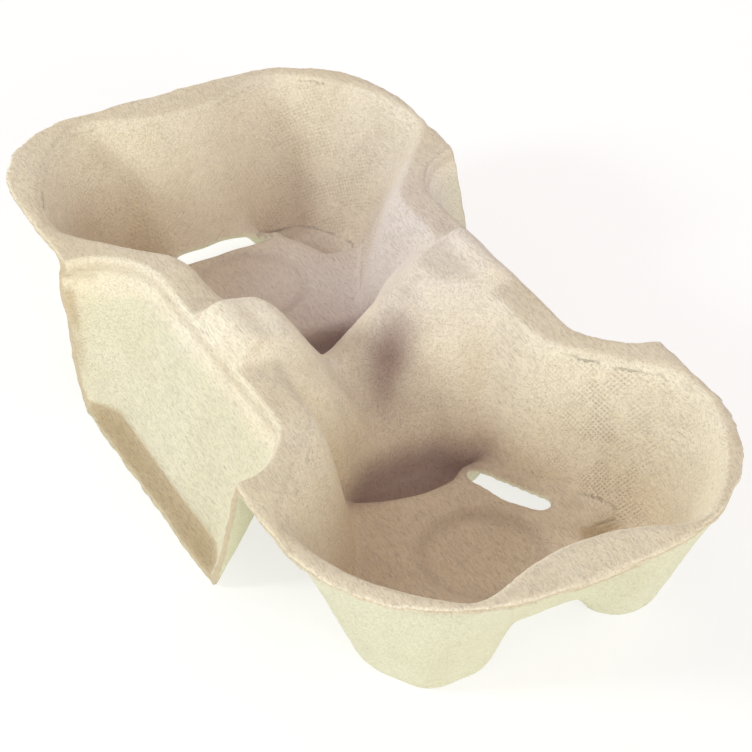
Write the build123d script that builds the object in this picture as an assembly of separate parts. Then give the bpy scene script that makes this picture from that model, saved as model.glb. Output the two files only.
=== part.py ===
from build123d import *
import os
import numpy as np

# Two-cup carrier, one sheet of moulded paper pulp. Length along X, width along Y, +Z up.
# Origin: middle of the trimmed outline, on the plane the carrier stands on. Millimetres.
# The upper skin is a height over the plan, because a moulded sheet has no undercuts, and
# the lower skin is everywhere one sheet thickness below it.

# ---- overall ----
length = 224.0
width = 113.2
rim_height = 43.5            # top of the flat flange above the ground
sheet = 2.4                  # pulp thickness
outline_r = {(1, 1): 42.0, (1, -1): 42.0, (-1, 1): 37.0, (-1, -1): 30.0}
trim_offset = 0.9            # the outline is cut this far off the middle line of the moulding
base = sheet                 # upper skin of whatever touches the ground

# ---- cup wells ----
well_x = 61.7                # centre of a well from the middle of the carrier
lobe_top_r = 53.3            # round end of the well at the rim
wall_batter = 15.1           # how much narrower the round end is on the ground
end_top = 99.8               # bowed end wall at the rim
end_bow = 0.0115
end_batter = 19.8            # how much the end wall leans in between the feet
foot_reach = 7.3             # the feet stand this much further out than that wall
arch_half = 15.0             # half width of the arch between two feet
arch_shift = 3.0             # the arch sits this far off the middle
arch_run = 12.0              # width over which the end wall steps out to a foot
side_top = 28.3              # straight side wall at the rim
side_lean = 10.5             # how much it leans in to the ground
side_end = 37.5              # where the side wall starts to swing out to the round end
side_flare = 0.5             # the foot of the side wall runs out again beyond side_flare_x
side_flare_x = 34.0
side_flare_r = 6.0

# ---- cup seat ----
floor_z = 9.2                # upper skin of the seat
seat_r = 24.8
seat_disc_r = 14.5           # dished middle of the seat
seat_disc_drop = 2.0
seat_cut_x = 64.5            # the hollow feet begin beyond this, outside the seat
seat_slope = 2.6
seat_blend = 2.0
seat_lip = 2.5
disc_edge = 3.0              # width of the step down into the dished middle
trench_x = 35.8              # the seat ends here and drops into the cross trench
trench_bow = 0.017

# ---- divider between the wells ----
crest_y = -5.9               # the low point of the crest lies off the middle, towards -Y
crest_z = 25.8
climb_right = 1.22           # how the crest climbs from there to the +Y post
climb_left = 1.72            # and to the -Y post
crest_r = 3.2
divider_r = 4.5              # rounding of the divider's ridge
flank_slope = 1.05           # how the divider falls into each well
toe_x = 19.5                 # beyond this the flank drops steeply into the trench
toe_z = 10.5
toe_slope = 2.2
toe_fade = 3.0               # the step dies out under the posts
nose_r = 22.0                # the posts fall off more slowly than the middle
nose_r_back = 9.0            # save for the far side of the +Y post
nose_y = 11.0
nose_z = 29.5
nose_rise = 0.9
nose_top_x = 12.0            # inside this the nose climbs on to the knob
nose_climb = 1.5
nose_blend = 5.0
nose_x = 17.0
nose_drop = 2.6

# ---- stacking knobs on the two posts ----
knob_rise = 5.3
knob_half_x = 11.5
knob_half_y = 10.5
knob_y = 26.5
knob_edge = 5.0              # width of the knob's rounded edge
knob_edge_start = 0.3
knob_blend = 2.0

# ---- finger recesses in the long sides ----
recess_y = 38.7              # face of the recess at the rim
recess_half = 47.0
recess_corner = 15.0
recess_flare = 0.18          # the ends of the recess splay, measured from flare_y
flare_y = 48.0
recess_batter = 12.8         # how much further out the face stands on the ground
ledge_short = 6.0            # how much shorter the recess is on the ground
ledge_corner = 16.0
ledge_shift = 5.0            # the foot of each recess sits this far towards one end
ledge_crease = 1.4           # rounding where the face turns out into the ledge

# ---- softening of the moulded corners ----
rim_roll = 4.5               # well wall into flange, round the cups
post_roll = 12.0             # the same beside the posts
post_roll_x = 12.0           # where it takes over beside the -Y knob, over post_roll_run
post_roll_run = 10.0
rim_roll_x = 40.0            # where it gives way to the rim's, over rim_roll_run
rim_roll_run = 20.0
end_blend = 6.0              # end wall into round end
side_blend = 5.0             # side wall into round end
foot_blend = 2.0
foot_side_blend = 3.0
divider_blend = 6.0          # divider into well walls
seat_wall_blend = 4.0        # seat into everything round it
ground_blend = 3.5
brow_blend = 1.5             # flange over into the finger recess
brow_slope = 3.0
end_droop = 1.5              # the flange sags a little in the middle of the +X end
droop_y = 4.0
droop_run_y = 26.0
droop_x = 98.0
droop_run_x = 14.0

# ---- drain slots through the sheet ----
slot_length = 21.6
slot_width = 5.4
slot_angle = 26.6
slot_x = 45.0
slot_y = 18.9
end_slot_length = 26.4
end_slot_width = 3.6
end_slot_x = -81.4

foot_cut = 0.5               # the standing faces are moulded this much low, then cut flat
foot_cut_height = 0.8
section_step = 1.2           # spacing of the sections, and of the points along each


def smooth_max(p, q, r):
    t = np.clip(0.5 + 0.5 * (p - q) / r, 0, 1)
    return q * (1 - t) + p * t + r * t * (1 - t)


def smooth_min(p, q, r):
    return -smooth_max(-p, -q, r)


def ease(t):
    t = np.clip(t, 0, 1)
    return t * t * (3 - 2 * t)


def rounded_v(t, r):
    """|t| with its point rounded, zero in the middle."""
    return np.sqrt(t * t + r * r) - r


def ramp(t, r):
    """Zero below t = 0, rising one to one above it, with a rounded start."""
    return 0.5 * (t + np.sqrt(t * t + r * r))


def rounded_corner(p, q, r):
    """Signed distance to two straight lines joined by a corner of radius r."""
    out = np.hypot(np.maximum(p + r, 0), np.maximum(q + r, 0))
    return out + np.minimum(np.maximum(p, q) + r, 0) - r


def loft(z0, z1, d0, d1):
    """Height of a straight wall between its foot line (d0 = 0) and its top line (d1 = 0)."""
    return z0 + (z1 - z0) * d0 / np.maximum(d0 - d1, 1e-3)


def recess_top(a, b):
    return rounded_corner(recess_y - b, a - recess_half - recess_flare * (b - flare_y), recess_corner)


def recess_foot(x, y):
    a = abs(x - ledge_shift * np.sign(y))
    return rounded_corner(recess_y + recess_batter - abs(y), a - recess_half + ledge_short, ledge_corner)


def well_top(a, b):
    d = np.hypot(np.maximum(a - well_x, 0), b) - lobe_top_r
    d = smooth_max(d, a - end_top - end_bow * b * b, end_blend)
    swing = (b - side_top - a + side_end) / np.sqrt(2)
    side = smooth_min(b - side_top, swing, side_blend)
    return smooth_max(d, side, side_blend)


def well_foot(x, y):
    a, b = abs(x), abs(y)
    d = np.hypot(np.maximum(a - well_x, 0), b) - lobe_top_r + wall_batter
    arch = abs(y - arch_shift * np.sign(x)) - arch_half
    end = end_top - end_batter + foot_reach * ease(arch / arch_run + 0.5)
    d = smooth_max(d, a - end, foot_blend)
    side = side_top - side_lean + side_flare * ramp(a - side_flare_x, side_flare_r)
    return smooth_max(d, b - side, foot_side_blend)


def divider(x, y):
    a, b = abs(x), abs(y)
    t = y - crest_y
    crest = crest_z + np.where(t > 0, climb_right, climb_left) * rounded_v(t, crest_r)
    middle = rounded_v(a, divider_r)
    post = rounded_v(a, np.where((x < 0) & (y > 0), nose_r_back, nose_r))
    s = crest - flank_slope * (middle + (post - middle) * ease(b / nose_y))
    toe = toe_z - toe_slope * (a - toe_x) + toe_fade * ramp(b - nose_y, toe_fade)
    s = smooth_min(s, toe, toe_fade)
    nose = nose_z + nose_rise * (b - nose_y) + nose_climb * ramp(nose_top_x - a, divider_r)
    nose = nose - nose_drop * ramp(a - nose_x, toe_fade)
    return smooth_min(smooth_min(s, nose, nose_blend), rim_height + knob_rise, knob_blend)


def seat(a, b):
    r = np.hypot(a - well_x, b)
    d = smooth_max(seat_r - r, seat_cut_x - a, seat_blend)
    d = smooth_min(d, a - trench_x + trench_bow * b * b, seat_blend)
    disc = seat_disc_drop * (1 - ease((r - seat_disc_r) / disc_edge + 0.5))
    return smooth_min(floor_z + seat_slope * d, floor_z + 0 * d, seat_lip) - disc


def flange_top(x, a, b):
    q = np.minimum(knob_half_x - a, knob_half_y - abs(b - knob_y))
    knob = knob_rise * ease(q / knob_edge + knob_edge_start)
    sag = end_droop * (1 - ease((b - droop_y) / droop_run_y)) * ease((a - droop_x) / droop_run_x)
    return rim_height + knob - np.where(x > 0, sag, 0)


def upper_skin(x, y):
    y = y - trim_offset
    a, b = abs(x), abs(y)
    z = loft(base, rim_height, well_foot(x, y), well_top(a, b))
    z = smooth_max(z, divider(x, y), divider_blend)
    z = smooth_max(z, seat(a, b), seat_wall_blend)
    z = smooth_max(z, base + 0 * a, ground_blend)
    beside_knob = np.where(y > 0, 1, ease((a - post_roll_x) / post_roll_run))
    near_post = beside_knob * (1 - ease((a - rim_roll_x) / rim_roll_run))
    roll = rim_roll + (post_roll - rim_roll) * near_post
    z = smooth_min(z, flange_top(x, a, b), roll)
    foot, top = recess_foot(x, y), recess_top(a, b)
    recess = loft(base, rim_height, foot, top)
    recess = np.where(top > 0, rim_height + brow_slope * top, recess)
    recess = smooth_max(recess, base + 0 * a, ledge_crease)
    return smooth_min(z, recess, brow_blend)


def lower_skin(x, y):
    """Lowest a ball of the sheet's thickness reaches when rolled along the upper skin."""
    z = upper_skin(x, y) - sheet
    for reach in (0.3, 0.55, 0.75, 0.88, 0.96, 0.995):
        drop = sheet * np.sqrt(1 - reach * reach)
        for turn in np.arange(16) * np.pi / 8:
            dx, dy = sheet * reach * np.cos(turn), sheet * reach * np.sin(turn)
            z = np.minimum(z, upper_skin(x + dx, y + dy) - drop)
    return z - foot_cut * ease(1 - z / foot_cut_height)


def skin_curve(x, ys, zs):
    """One smooth curve across the sheet. All sections share one spacing, so they loft cleanly."""
    points = [Vector(x, y, z) for y, z in zip(ys, zs)]
    spacing = [(y - ys[0]) / (ys[-1] - ys[0]) for y in ys]
    return Edge.make_spline(points, parameters=spacing)


def make_sheet():
    """The moulded sheet before trimming, lofted through closed sections along its length."""
    nx = int(length / 2 / section_step) + 3
    ny = int(width / 2 / section_step) + 3
    xs = [i * section_step for i in range(-nx, nx + 1)]
    ys = [j * section_step for j in range(-ny, ny + 1)]
    gx, gy = np.meshgrid(xs, ys, indexing="ij")
    top, bottom = upper_skin(gx, gy).tolist(), lower_skin(gx, gy).tolist()
    sections = []
    for x, above, below in zip(xs, top, bottom):
        upper = skin_curve(x, ys, above)
        lower = skin_curve(x, ys, below)
        right = Edge.make_line(upper @ 1, lower @ 1)
        left = Edge.make_line(lower @ 0, upper @ 0)
        sections.append(Wire([upper, right, lower, left]))
    return Solid.make_loft(sections)


def trimmed_outline():
    """The blank's outline: a rectangle with its own radius at each corner."""
    half_l, half_w = length / 2, width / 2
    arcs = []
    for start, (sx, sy) in zip((270, 0, 90, 180), ((1, -1), (1, 1), (-1, 1), (-1, -1))):
        r = outline_r[(sx, sy)]
        arcs.append(CenterArc((sx * (half_l - r), sy * (half_w - r)), r, start, 90))
    sides = [Line(arcs[k] @ 1, arcs[(k + 1) % 4] @ 0) for k in range(4)]
    return make_face(arcs + sides)


def slot_cutter(x, y, slot_len, slot_wide, angle):
    hole = Location((x, y, 0), (0, 0, angle)) * SlotOverall(slot_len, slot_wide)
    return extrude(hole, floor_z + rim_height / 2, dir=(0, 0, 1))


def make_carrier():
    stock = extrude(trimmed_outline(), 2 * rim_height, dir=(0, 0, 1))
    body = stock & make_sheet()
    body = body - slot_cutter(slot_x, slot_y, slot_length, slot_width, slot_angle)
    return body - slot_cutter(end_slot_x, trim_offset, end_slot_length, end_slot_width, 90)


carrier = make_carrier()
solid = carrier.solids()[0]
solid.label = "carrier"
os.makedirs("parts", exist_ok=True)
export_step(solid, "parts/carrier.step")
box = solid.bounding_box()
print("carrier: solids", len(carrier.solids()), "valid", solid.is_valid, "volume", round(solid.volume))
print("size", [round(v, 2) for v in box.size], "lowest", round(box.min.Z, 3))
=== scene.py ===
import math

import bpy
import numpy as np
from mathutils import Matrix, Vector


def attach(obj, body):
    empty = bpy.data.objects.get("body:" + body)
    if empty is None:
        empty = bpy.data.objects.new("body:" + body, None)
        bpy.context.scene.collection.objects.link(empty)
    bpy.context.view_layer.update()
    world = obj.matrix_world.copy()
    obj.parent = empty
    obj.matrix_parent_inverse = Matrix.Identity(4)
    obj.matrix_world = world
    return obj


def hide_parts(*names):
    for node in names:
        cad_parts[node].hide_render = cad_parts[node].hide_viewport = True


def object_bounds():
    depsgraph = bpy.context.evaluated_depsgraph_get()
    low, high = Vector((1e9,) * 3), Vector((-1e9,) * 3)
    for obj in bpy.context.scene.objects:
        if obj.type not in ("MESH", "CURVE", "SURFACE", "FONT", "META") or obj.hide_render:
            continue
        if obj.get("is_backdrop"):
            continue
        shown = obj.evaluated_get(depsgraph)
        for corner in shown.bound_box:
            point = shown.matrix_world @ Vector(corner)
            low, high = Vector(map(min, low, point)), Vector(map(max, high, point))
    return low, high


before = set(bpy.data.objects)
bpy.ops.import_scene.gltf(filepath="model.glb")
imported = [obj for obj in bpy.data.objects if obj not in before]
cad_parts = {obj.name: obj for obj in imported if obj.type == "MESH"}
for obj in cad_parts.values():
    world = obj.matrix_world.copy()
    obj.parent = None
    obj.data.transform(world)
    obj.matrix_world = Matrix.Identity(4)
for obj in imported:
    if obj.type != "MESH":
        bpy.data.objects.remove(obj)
cad_low, cad_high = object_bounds()

# %% [markdown]
# ## A two-cup carrier of moulded pulp
# Waste paper is beaten to a grey-cream slurry, sucked onto a shaped wire screen and dried.
# The result is one thin sheet: soft rounded hollows, a fuzzy fibrous skin, the print of
# the wire on the inside, and torn edges where the blank was cut free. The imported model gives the
# exact form. This file gives it that skin, and it keeps the size of the model all the way.

MM = 0.001


def linear(hex_colour):
    """An sRGB hex value as the linear colour that a shader needs."""
    parts = [int(hex_colour[i:i + 2], 16) / 255 for i in (1, 3, 5)]
    curve = [p / 12.92 if p <= 0.04045 else ((p + 0.055) / 1.055) ** 2.4 for p in parts]
    return (*curve, 1.0)


def ease(t):
    """0 below 0, 1 above 1, and a smooth rise between them."""
    t = np.clip(t, 0, 1)
    return t * t * (3 - 2 * t)


def band(value, middle, half):
    """1 at a middle value, and a smooth fall to 0 at half a width from it."""
    return ease(1 - abs(value - middle) / half)


def spot(x, y, middle, reach):
    """A soft round or oval spot: 1 in the middle, and about a third at its reach."""
    return np.exp(-((x - middle[0]) / reach[0]) ** 2 - ((y - middle[1]) / reach[1]) ** 2)


print("carrier box, mm:", [round(v / MM, 1) for v in (*cad_low, *cad_high)])

# %% [markdown]
# ## Camera
# A long lens from sixty centimetres off keeps the two wells nearly the same size. One could
# turn the camera with a constraint. Here its three axes are worked out from a turn and a rise,
# which keeps the sideways slide of the frame exact.
# The camera looks down along the carrier from one end, turned a little to the left side.

# %% Camera
camera_turn = math.radians(61.5)
camera_rise = math.radians(37.6)
camera_distance = 0.592
camera_aim = Vector((0, 0.0009, 0.030))
camera_slide = (0.00444, -0.00826)

back = Vector((math.sin(camera_turn) * math.cos(camera_rise),
               -math.cos(camera_turn) * math.cos(camera_rise),
               math.sin(camera_rise)))
right = Vector((math.cos(camera_turn), math.sin(camera_turn), 0))
up = back.cross(right)
camera = bpy.data.objects.new("camera", bpy.data.cameras.new("camera"))
bpy.context.collection.objects.link(camera)
place = camera_aim + right * camera_slide[0] + up * camera_slide[1] + back * camera_distance
camera.matrix_world = Matrix.Translation(place) @ Matrix((right, up, back)).transposed().to_4x4()
camera.data.sensor_width = 36
camera.data.lens = 114.9
camera.data.clip_start = 10 * MM
bpy.context.scene.camera = camera
print("camera at", [round(v, 3) for v in place])

# %% [markdown]
# ## Light and floor
# Three soft boxes stand low round the carrier, about two metres off. The key is in front of the
# long side and not too wide, so each knob throws a soft shadow over the divider. Broad ones at
# the near end and the far end open the walls. One could light it all with a white sky. Then the
# flat flange would be as pale as the walls, and the real one is a step darker, so the lamps stand
# low and the sky only fills.

# %% Soft boxes
scene = bpy.context.scene
scene.view_settings.view_transform = "Standard"
lamp_distance = 2.0


def soft_box(name, turn, rise, spread, power, colour):
    """A round soft box at a turn from the front, towards +X, and a rise over the floor."""
    turn, rise = math.radians(turn), math.radians(rise)
    way = Vector((math.sin(turn) * math.cos(rise), -math.cos(turn) * math.cos(rise), math.sin(rise)))
    lamp = bpy.data.objects.new(name, bpy.data.lights.new(name, "AREA"))
    lamp.data.shape = "DISK"
    lamp.data.size = 2 * lamp_distance * math.tan(math.radians(spread / 2))
    lamp.data.energy = power
    lamp.data.color = colour
    lamp.location = camera_aim + way * lamp_distance
    lamp.rotation_euler = way.to_track_quat("Z", "Y").to_euler()
    bpy.context.collection.objects.link(lamp)


soft_box("key", -10, 28, 14, 17.0, (0.91, 1.0, 0.97))
soft_box("near_end", 90, 15, 35, 18.2, (0.97, 1.0, 0.92))
soft_box("far_end", -90, 15, 35, 10.8, (1.0, 1.0, 0.86))
print("soft boxes, metres off:", lamp_distance)

# %% [markdown]
# The sky is dim and a little rosy, which keeps the hollows brown. A carrier for a shop's page
# lies on a light table: the floor itself glows, so shadows stay faint and the slots read as
# white.

# %% Sky and floor
sky = bpy.data.worlds.new("dim_room")
scene.world = sky
sky.use_nodes = True
air = sky.node_tree.nodes["Background"]
air.inputs["Color"].default_value = (1.0, 0.88, 0.88, 1)
air.inputs["Strength"].default_value = 0.57

bpy.ops.object.select_all(action="DESELECT")
bpy.ops.mesh.primitive_plane_add(size=8, location=(0, 0, 0))
floor = bpy.context.object
floor.name = "floor"
white = bpy.data.materials.new("white_floor")
white.use_nodes = True
paint = white.node_tree.nodes["Principled BSDF"]
paint.inputs["Base Color"].default_value = linear("#a9a9a9")
paint.inputs["Roughness"].default_value = 0.9
paint.inputs["Emission Color"].default_value = (1, 1, 1, 1)
paint.inputs["Emission Strength"].default_value = 0.65
floor.data.materials.append(white)
floor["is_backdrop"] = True
print("floor glow:", round(paint.inputs["Emission Strength"].default_value, 2))

# %% [markdown]
# ## The moulded sheet
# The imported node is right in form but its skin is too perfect. It could be given only a bump
# map, but torn edges and slumped corners change the outline, so they need real vertices. The
# node's mesh is copied, its loose triangles are merged, and a voxel remesh turns it into even
# small squares that can be pushed about like clay.

# %% Copy and remesh
voxel = 1.17 * MM

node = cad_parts["carrier"]
carrier = node.copy()
carrier.data = node.data.copy()
carrier.name = "pulp_carrier"
bpy.context.collection.objects.link(carrier)
bpy.ops.object.select_all(action="DESELECT")
carrier.select_set(True)
bpy.context.view_layer.objects.active = carrier
carrier.data.materials.clear()
bpy.ops.object.mode_set(mode="EDIT")
bpy.ops.mesh.select_all(action="SELECT")
bpy.ops.mesh.remove_doubles(threshold=0.01 * MM)
bpy.ops.mesh.normals_make_consistent(inside=False)
bpy.ops.object.mode_set(mode="OBJECT")
remesh = carrier.modifiers.new("even squares", "REMESH")
remesh.mode = "VOXEL"
remesh.voxel_size = voxel
bpy.ops.object.modifier_apply(modifier=remesh.name)
settle = carrier.modifiers.new("settle", "CORRECTIVE_SMOOTH")
settle.use_only_smooth = True
settle.factor = 0.5
settle.iterations = 3
bpy.ops.object.modifier_apply(modifier=settle.name)
print("squares:", len(carrier.data.polygons))

# %% [markdown]
# ## Reading the form
# Everything that follows asks the same questions of a point: how far it is from the cut
# outline, how far it is from the sharp brow of a finger recess, and which way it faces. They
# could be read from painted groups. The outline is a plain rounded rectangle, so a short formula
# on an array of vertices answers them for the whole sheet at once, in millimetres.

# %% Distances on the sheet
half_length = cad_high.x / MM
half_width = cad_high.y / MM
rim_height = 43.5
near_corner_r = 42.0
far_right_corner_r = 37.0
far_left_corner_r = 30.0
well_x = 61.7        # centre of a well
middle_y = 0.9       # centre line of the wells
recess_y = 38.7      # face of a finger recess at the rim
recess_half = 47.0
recess_corner = 15.0
recess_flare = 0.18  # its ends splay, measured from flare_y
flare_y = 48.0
tiny = 1e-6


def outline_distance(x, y):
    """Distance to the cut outline, below zero inside it, and the way outwards."""
    far_r = np.where(y > 0, far_right_corner_r, far_left_corner_r)
    r = np.where(x > 0, near_corner_r, far_r)
    qx, qy = abs(x) - (half_length - r), abs(y) - (half_width - r)
    reach = np.hypot(np.maximum(qx, 0), np.maximum(qy, 0))
    corner = (qx > 0) & (qy > 0)
    distance = np.where(corner, reach - r, np.maximum(qx, qy) - r)
    out_x = np.where(corner, qx / np.maximum(reach, tiny), qx > qy) * np.sign(x)
    out_y = np.where(corner, qy / np.maximum(reach, tiny), qy >= qx) * np.sign(y)
    return distance, out_x, out_y


def brow_distance(x, y):
    """Distance from the brow of the finger recess, above zero on the flange side."""
    out = abs(y - middle_y)
    p = recess_y - out + recess_corner
    q = abs(x) - recess_half - recess_flare * (out - flare_y) + recess_corner
    reach = np.hypot(np.maximum(p, 0), np.maximum(q, 0))
    return reach + np.minimum(np.maximum(p, q), 0) - recess_corner


def lumps(p, size, seed):
    """Smooth random lumps from -1 to 1, about size millimetres across."""
    # each corner of a grid gets a random value, the far digits of a large sine
    stir = np.array([127.1, 311.7, 74.7])
    q = p / size + seed * 17.3
    cell = np.floor(q)
    part = ease(q - cell)
    total = np.zeros(len(p))
    for corner in np.ndindex(2, 2, 2):
        value = np.sin((cell + corner) @ stir + seed * 5.31) * 43758.5453
        weight = np.prod(np.where(corner, part, 1 - part), axis=1)
        total += weight * (value - np.floor(value))
    return total * 2 - 1


def read_vectors(vertices, what):
    """All the places or normals of a mesh's vertices, one row for each."""
    values = np.empty(len(vertices) * 3)
    vertices.foreach_get(what, values)
    return values.reshape(-1, 3)


mesh = carrier.data
points = read_vectors(mesh.vertices, "co") / MM
normals = read_vectors(mesh.vertices, "normal")
facing = normals[:, 2]  # 1 looks straight up, -1 straight down
edge, out_x, out_y = outline_distance(points[:, 0], points[:, 1])
brow = brow_distance(points[:, 0], points[:, 1])
print("points:", len(points), "on the cut edge:", int((edge > -0.8).sum()))

# %% [markdown]
# ## Slumps, pinches and torn edges
# Wet pulp sags and tears, so no two slots or corners are alike. A sculptor would use the grab
# brush: points near a place follow the hand, less and less with distance. The same is done here
# for the slots, which a worn punch left long and pointed, and for the slumped end of one recess.

# %% Grab and pull
seat_reach = 16  # points higher than this stay where they are


def pull(p, place, offset, reach):
    """Low points near a place follow an offset, less and less with distance."""
    away = np.hypot(p[:, 0] - place[0], p[:, 1] - place[1])
    p[:, :2] += np.outer(ease(1 - away / reach) * ease((seat_reach - p[:, 2]) / 4), offset)


pull(points, place=(-81.4, 13.5), offset=(0, 3.6), reach=9)     # far slot, longer at one end
pull(points, place=(-84.5, 4), offset=(-1.1, 0), reach=8)       # and wider there
pull(points, place=(35.0, 14.0), offset=(-1.8, -0.9), reach=6)  # near slot, a pointed end
pull(points, place=(46.6, 16.2), offset=(0.3, -0.9), reach=8)   # and a bowed side
left_end = band(points[:, 0], -49, 10) * ease((-points[:, 1] - 44) / 5)
left_end *= ease(points[:, 2] / 6) * ease((41 - points[:, 2]) / 5)
left_end_slump = 4.0
points[:, 0] -= left_end_slump * left_end
print("pulled at the end of the left recess:", int((left_end > 0.2).sum()))

# %% [markdown]
# The felt itself is uneven. Broad waves of a fraction of a millimetre take the machine-made
# look from the walls, and smaller lumps raise the skin. Noise could come from a Displace
# modifier, but here the lumps must fade out at the cut edge and under the feet.

# %% Broad waves and lumps
wave = 0.30 * lumps(points, 26, 1) + 0.16 * lumps(points, 11, 2)
skin = 0.09 * lumps(points, 4.5, 3) + 0.06 * lumps(points, 2.3, 4)
calm = ease(-edge / 6) * ease((points[:, 2] - 0.3) / 3)
off_ground = ease(points[:, 2] - 0.1)
moved = points + normals * (wave * calm + skin * off_ground)[:, None]
print("waves, mm:", round(float(abs(wave * calm).max()), 2))

# %% [markdown]
# At the cut edge the sheet is eaten away by a ragged amount, more at mid thickness, where the
# layers part. The points move along the way to the outline, so the edge keeps its thickness.
# Nothing moves outwards, because the carrier's size belongs to the model.

# %% Torn cut edge
near_edge = ease((edge + 2.6) / 2.4)
bite = 0.30 + 0.34 * lumps(points, 9, 5)
bite += 0.30 * lumps(points, 3.5, 6) + 0.20 * lumps(points, 1.8, 7)
side_face = ease(1.6 - 2.2 * abs(facing))
split = 0.55 * side_face * ease(0.5 + 1.4 * lumps(points, 14, 8))
inward = near_edge * np.maximum(bite, 0) + ease((edge + 0.9) / 0.8) * split
moved[:, 0] -= out_x * inward
moved[:, 1] -= out_y * inward
lip = ease((edge + 3.2) / 2.5) * (facing > 0.5)
moved[:, 2] += lip * (0.22 * lumps(points, 6, 9) - 0.12)
print("deepest bite, mm:", round(float(inward.max()), 2))

# %% [markdown]
# Where the two halves of the tool met at the brow of a recess, a thin flash was squeezed up and
# broke off unevenly. It is a ridge that the light catches, with a crease on the outer side. A
# bump could fake it, but it shows against the light, so the points themselves rise and sink.

# %% Flash along the brow of each finger recess
flash_height = 0.50
crease_depth = 0.35
at_rim = points[:, 2] > rim_height - 4
flash = band(brow, 0.5, 1.2) * np.maximum(0.45 + lumps(points, 7, 10), 0)
crease = band(brow, -0.8, 0.9) * ease(0.6 + 0.9 * lumps(points, 9, 12))
moved[:, 2] += at_rim * (facing > -0.2) * (flash_height * flash - crease_depth * crease)
print("flash, mm:", round(float((at_rim * flash).max() * flash_height), 2))

# %% [markdown]
# The box of the model is the carrier's true size, so whatever the lumps did, no point may end
# outside it. One clip does all three axes.

# %% Hold the size
moved = np.clip(moved, np.array(cad_low) / MM, np.array(cad_high) / MM)
mesh.vertices.foreach_set("co", (moved * MM).ravel())
mesh.update()
bpy.ops.object.select_all(action="DESELECT")
carrier.select_set(True)
bpy.context.view_layer.objects.active = carrier
bpy.ops.object.shade_smooth()
print("moved by up to, mm:", round(float(np.abs(moved - points).max()), 2))

# %% [markdown]
# ## Where the wire left its print
# The pulp was drawn onto a wire screen, so the inside of the wells shows a fine weave. A flat
# projection would smear it down the walls. Instead each vertex carries its own place on the
# wall, round the well and down the slope, and how much of the print it took.

# %% Weave attribute
x, y, z = moved.T
wall_r = 46         # usual distance of a wall from the middle of its well
wall_lean = 0.86    # rise for each millimetre along the slope of a wall
around = np.arctan2(y - middle_y, abs(x) - well_x) * wall_r
wall = ease((0.80 - abs(facing)) / 0.35)
weave_u = np.where(wall > 0.5, around, x)
weave_v = np.where(wall > 0.5, z / wall_lean, y)
weave = mesh.attributes.new("weave", "FLOAT_VECTOR", "POINT")
weave.data.foreach_set("vector", np.stack([weave_u, weave_v, z * 0], 1).ravel() * MM)
print("longest way round a well, mm:", round(float(np.ptp(weave_u)), 1))

# %% [markdown]
# ## Where the tones lie
# The sheet is one stuff, but not one tone. Painted shade browns the hollows and the folds of the
# divider and darkens the top, and the cut edge shows raw felt and some painted shade.
# These could be painted by hand. They follow the form so closely that each is a short formula
# of place and normal. The first colour attribute keeps four of them in its four channels.

# %% Masks of form
inside = (facing > 0.05) & (edge < -6)
well = inside * (brow > 2)
# painted shade: the wells darken with depth, more in the near well and in the far left corner
far_corner_shade = spot(x, y, (-85, -38), (24, 18)) * ease((38 - z) / 22)
well_shade = ease((40 - z) / 34) * (0.78 + 0.36 * ease(x / 40)) + 0.7 * far_corner_shade
well_shade = np.minimum(well_shade, 1) * well
round_wall = ease((abs(x) - 38) / 10)
patches = 0.5 + 0.5 * lumps(points, 24, 11)
sharp_print = spot(x, y, (56, 38), (19, 12)) * wall * inside
print_strength = 0.7 * wall * well * round_wall * ease(1.2 * patches - 0.15)
print_strength = np.maximum(print_strength, sharp_print)
# painted shade on the cut edge of the slumped left end
slumped_end_shade = ease(1.8 * left_end - 0.3) * ease((-y - 52.5) / 2) * ease(0.9 + 1.2 * lumps(points, 5, 13))
cut_felt_and_shade = np.maximum(ease((edge + 1.2) / 0.8) * side_face, slumped_end_shade)
# painted shade in the crease beside the flash
brow_crease_shade = band(brow, -0.7, 0.8) * (z > rim_height - 4)
masks = mesh.color_attributes.new("masks", "FLOAT_COLOR", "POINT")
masks.data.foreach_set("color", np.stack([well_shade, print_strength, cut_felt_and_shade, brow_crease_shade], 1).ravel())
print("share with print:", round(float((print_strength > 0.3).mean()), 2))

# %% [markdown]
# Painted shade darkens the trench and lies thinly round the dished middle of each seat, and the
# knob's painted shadow falls on one fold of the divider. Four more masks hold that, a painted cool
# light on the far wall, painted shade on the flat top, and the ledges. The last one marks the outer
# skin and the faces of the recesses, which are made a little greener and darker.

# %% Masks of painted shade, painted light and skin
seat_disc_r = 14.5
# painted shade in the trench at the foot of the divider
trench_shade = ease((14 - z) / 9) * ease((37 - abs(x)) / 5) * well
along, across = x - 8 + 0.5 * (y - 5), y - 5 - 0.5 * (x - 8)
# painted shadow of the left knob, cast on the divider's slope
knob_shadow = spot(along, across, (0, 0), (7, 10)) * ease(0.7 + 0.6 * lumps(points, 9, 14)) * inside
ring_r = np.hypot(abs(x) - well_x, y - middle_y)
# painted shade round the edge of each seat's dished middle
seat_edge_shade = np.exp(-((ring_r - seat_disc_r) / 1.8) ** 2) * (z < 12) * inside
trench_fold_shade = np.maximum(trench_shade, np.maximum(1.2 * knob_shadow, 0.28 * seat_edge_shade))
# painted cool light over the far wall and the right side of the divider
painted_cool_light = spot(x, y, (-38, 24), (50, 28)) * (facing > 0)
# painted shade: the up-facing top is made a step darker and browner
top_shade = ease((facing - 0.80) / 0.15) * ease((z - 30) / 9) * ease((48 - z) / 4)
ledge = ease((6 - z) / 2) * ease((facing - 0.3) / 0.3) * (brow < -2)
clouds = mesh.color_attributes.new("clouds", "FLOAT_COLOR", "POINT")
clouds.data.foreach_set("color", np.stack([trench_fold_shade, painted_cool_light, top_shade, ledge], 1).ravel())

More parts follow.
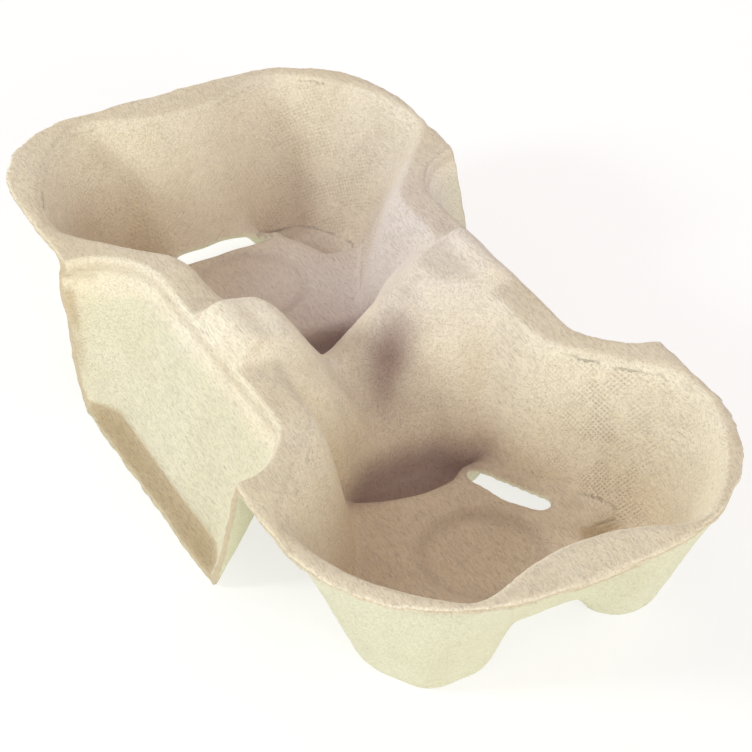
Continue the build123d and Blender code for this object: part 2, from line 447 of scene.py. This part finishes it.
under_skin = ease(-facing / 0.2) * ease((rim_height - z) / 3)
recess_face = 0.62 * ease((-brow - 1.5) / 2)
outside = mesh.attributes.new("outside", "FLOAT", "POINT")
outside.data.foreach_set("value", np.maximum(under_skin, recess_face))
print("share on the outer skin:", round(float((under_skin > 0.5).mean()), 2))

# %% [markdown]
# ## Moulded pulp
# The stuff is recycled paper fibre, vacuum formed and oven dried, with no coat of any kind. It
# is matt and slightly fuzzy, cream where the light is full, and it browns in the hollows, where
# light bounces from fibre to fibre. Close by, one sees felted grain, stray hairs both paler and
# darker, specks of old print, and the pits of the wire. A scanned texture would bring all that
# at one fixed size. Nodes draw it from real sizes in millimetres instead.


# %% Node helper
def add(tree, kind, settings=None, **inputs):
    """Adds a node. An input is a value, a socket, or a node whose first live output is joined."""
    made = tree.nodes.new("ShaderNode" + kind)
    for name, value in (settings or {}).items():
        setattr(made, name, value)
    for name, value in inputs.items():
        numbered = name[1:].isdigit()
        socket = made.inputs[int(name[1:]) if numbered else name.replace("_", " ")]
        if isinstance(value, bpy.types.Node):
            value = next(output for output in value.outputs if output.enabled)
        if isinstance(value, bpy.types.NodeSocket):
            tree.links.new(value, socket)
        else:
            socket.default_value = value
    return made


def per_mm(size):
    """Texture scale for a feature of this many millimetres."""
    return 1 / (size * MM)


material = bpy.data.materials.new("moulded_pulp")
material.use_nodes = True
tree = material.node_tree
where = add(tree, "TexCoord").outputs["Object"]
masks = add(tree, "Attribute", {"attribute_name": "masks"})
clouds = add(tree, "Attribute", {"attribute_name": "clouds"})
mask = add(tree, "SeparateColor", None, Color=masks).outputs
cloud = add(tree, "SeparateColor", None, Color=clouds).outputs
multiply = {"operation": "MULTIPLY"}
multiply_add = {"operation": "MULTIPLY_ADD"}
smooth = {"interpolation_type": "SMOOTHSTEP"}
rgb = {"data_type": "RGBA"}
print("helper ready, base nodes:", len(tree.nodes))

# %% [markdown]
# The ground tone is a clean cream. Over it lie clouds of several sizes, from patches a few
# centimetres wide, where the slurry was thicker, down to the clots of the felt. Each is one
# noise, cut to its crests, and tints what is below it.

# %% Cream and mottle
broad = add(tree, "TexNoise", None, Vector=where, Scale=per_mm(38), Detail=3.0)
share = add(tree, "MapRange", smooth, Value=broad, From_Min=0.35, From_Max=0.65)
colour = add(tree, "Mix", rgb, _0=share, _6=linear("#f8f0da"), _7=linear("#f3e9cd"))
for size, low, high, strength, tone in (
        (9.0, 0.42, 0.72, 0.30, "#d9cdb2"),
        (1.7, 0.50, 0.74, 0.34, "#c9b898"),
        (0.75, 0.52, 0.70, 0.26, "#b5a27f"),
        (1.1, 0.56, 0.72, 0.40, "#fbf6e6")):
    patch = add(tree, "TexNoise", None, Vector=where, Scale=per_mm(size), Detail=4.0, Roughness=0.65)
    share = add(tree, "MapRange", smooth, Value=patch, From_Min=low, From_Max=high, To_Max=strength)
    colour = add(tree, "Mix", rgb, _0=share, _6=colour, _7=linear(tone))
print("nodes:", len(tree.nodes))

# %% [markdown]
# Stray fibres are two to three millimetres long and lie in every direction. Curves could be
# scattered over the sheet by the thousand. Seen from a pace away, noise drawn out along a few
# directions does as well, when only its crests are kept.

# %% Fibres and specks
hairs = {"dark": None, "pale": None}
for shade, turn, length, width in (
        ("dark", (0.3, 0.5, 0.4), 2.6, 0.34),
        ("dark", (1.1, -0.4, 1.9), 2.2, 0.30),
        ("pale", (0.9, 0.2, 2.6), 3.0, 0.36),
        ("pale", (-0.5, 0.7, 1.2), 2.4, 0.32)):
    drawn = add(tree, "Mapping", None, Vector=where, Rotation=turn,
                Scale=(per_mm(length), per_mm(width), per_mm(width)))
    streak = add(tree, "TexNoise", None, Vector=drawn, Scale=1.0, Detail=1.0)
    crest = add(tree, "MapRange", smooth, Value=streak, From_Min=0.60, From_Max=0.70)
    hairs[shade] = add(tree, "Math", {"operation": "MAXIMUM"}, _0=crest, _1=hairs[shade] or 0.0)
for shade, strength, tone in (("dark", 0.28, "#98835f"), ("pale", 0.42, "#fdf8ea")):
    share = add(tree, "Math", multiply, _0=hairs[shade], _1=strength)
    colour = add(tree, "Mix", rgb, _0=share, _6=colour, _7=linear(tone))

# specks of old print and bark: small dots in a few of the cells
cells = add(tree, "TexVoronoi", None, Vector=where, Scale=per_mm(2.6))
dot = add(tree, "MapRange", smooth, Value=cells, From_Min=0.05, From_Max=0.13, To_Min=1.0, To_Max=0.0)
pick = add(tree, "SeparateColor", None, Color=cells.outputs["Color"])
few = add(tree, "MapRange", smooth, Value=pick, From_Min=0.66, From_Max=0.76, To_Max=0.38)
share = add(tree, "Math", multiply, _0=dot, _1=few)
colour = add(tree, "Mix", rgb, _0=share, _6=colour, _7=linear("#84725a"))
print("nodes:", len(tree.nodes))

# %% [markdown]
# Now the masks bring their tones: a greener, darker outer skin, painted shade deepening the wells,
# a painted cool light along the far wall, painted shade on the top faces, a darker tan on the
# ledges of the recesses, painted shade and a painted shadow in the trench and a fold, raw felt at
# the cut with painted shade on one slumped end, and painted shade at the foot of the flash. A loop
# lays them one over another.

# %% Tones of place
outer_skin = add(tree, "Attribute", {"attribute_name": "outside"}).outputs["Fac"]
for place, strength, tone in (
        (outer_skin, 0.62, "#cbceae"),
        # painted shade deepening the wells
        (mask[0], 0.44, "#cfb496"),
        # painted cool light
        (cloud[1], 0.52, "#dad0dc"),
        # painted shade on the top faces
        (cloud[2], 0.34, "#c9b797"),
        (clouds.outputs["Alpha"], 0.78, "#bca682"),
        # painted shade in the trench and round the seats, and the knob's painted shadow
        (cloud[0], 0.62, "#846468"),
        # raw felt at the cut, with painted shade on the slumped end
        (mask[2], 0.62, "#b9a27c"),
        # painted shade in the crease at the foot of the flash
        (masks.outputs["Alpha"], 0.30, "#a58d6a")):
    share = add(tree, "Math", multiply, _0=place, _1=strength)
    colour = add(tree, "Mix", rgb, _0=share, _6=colour, _7=linear(tone))
print("nodes:", len(tree.nodes))

# %% [markdown]
# The wire screen leaves pits a little over a millimetre apart. Two families of wires cross at a
# right angle, and the pits are where both are low. They follow the weave attribute, so the rows
# run round the well.

# %% Print of the wire
wall_place = add(tree, "Attribute", {"attribute_name": "weave"}).outputs["Vector"]
wire_pitch = 1.05
waves_per_unit = 0.314  # the wave texture runs twenty radians a unit
pits = None
for turn in (62, -28):
    turned = add(tree, "Mapping", None, Vector=wall_place, Rotation=(0, 0, math.radians(turn)))
    wires = add(tree, "TexWave", None, Vector=turned, Scale=waves_per_unit * per_mm(wire_pitch),
                Distortion=0.6, Detail=1.0, Detail_Scale=0.6).outputs["Fac"]
    pits = wires if pits is None else add(tree, "Math", multiply, _0=pits, _1=wires)
worn = add(tree, "TexNoise", None, Vector=where, Scale=per_mm(6), Detail=2.0)
worn = add(tree, "MapRange", smooth, Value=worn, From_Min=0.34, From_Max=0.60)
printed = add(tree, "Math", multiply, _0=mask[1], _1=worn)
pits = add(tree, "Math", multiply, _0=pits, _1=printed)
share = add(tree, "Math", multiply, _0=pits, _1=0.30)
colour = add(tree, "Mix", rgb, _0=share, _6=colour, _7=linear("#94795a"))
print("nodes:", len(tree.nodes))

# %% [markdown]
# The relief is given in millimetres: fine grain, felt, clots, hairs that stand up a little, and
# pits that sink. These are too small for the mesh, so a bump does them. The skin scatters light
# from loose fibres, so it is very rough, has little shine, and gets a trace of sheen.

# %% Relief and finish
relief = add(tree, "Math", multiply, _0=pits, _1=-0.22)
for size, height in ((0.6, 0.16), (1.5, 0.26), (5.0, 0.24)):
    bumps = add(tree, "TexNoise", None, Vector=where, Scale=per_mm(size), Detail=3.0, Roughness=0.65)
    relief = add(tree, "Math", multiply_add, _0=bumps, _1=height, _2=relief)
relief = add(tree, "Math", multiply_add, _0=hairs["pale"], _1=0.10, _2=relief)
bump = add(tree, "Bump", None, Height=relief, Strength=1.0, Distance=MM)
shader = tree.nodes["Principled BSDF"]
tree.links.new(colour.outputs[2], shader.inputs["Base Color"])
tree.links.new(bump.outputs[0], shader.inputs["Normal"])
shader.inputs["Roughness"].default_value = 0.92
shader.inputs["IOR"].default_value = 1.45
shader.inputs["Specular IOR Level"].default_value = 0.25
shader.inputs["Sheen Weight"].default_value = 0.10
shader.inputs["Sheen Roughness"].default_value = 0.6
carrier.data.materials.append(material)
print("nodes in the pulp material:", len(tree.nodes))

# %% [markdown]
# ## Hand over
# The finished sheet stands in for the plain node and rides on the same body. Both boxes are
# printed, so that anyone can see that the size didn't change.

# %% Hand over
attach(carrier, "root")
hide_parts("carrier")
low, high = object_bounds()
print("visual box, mm:", [round(v / MM, 1) for v in (*low, *high)])
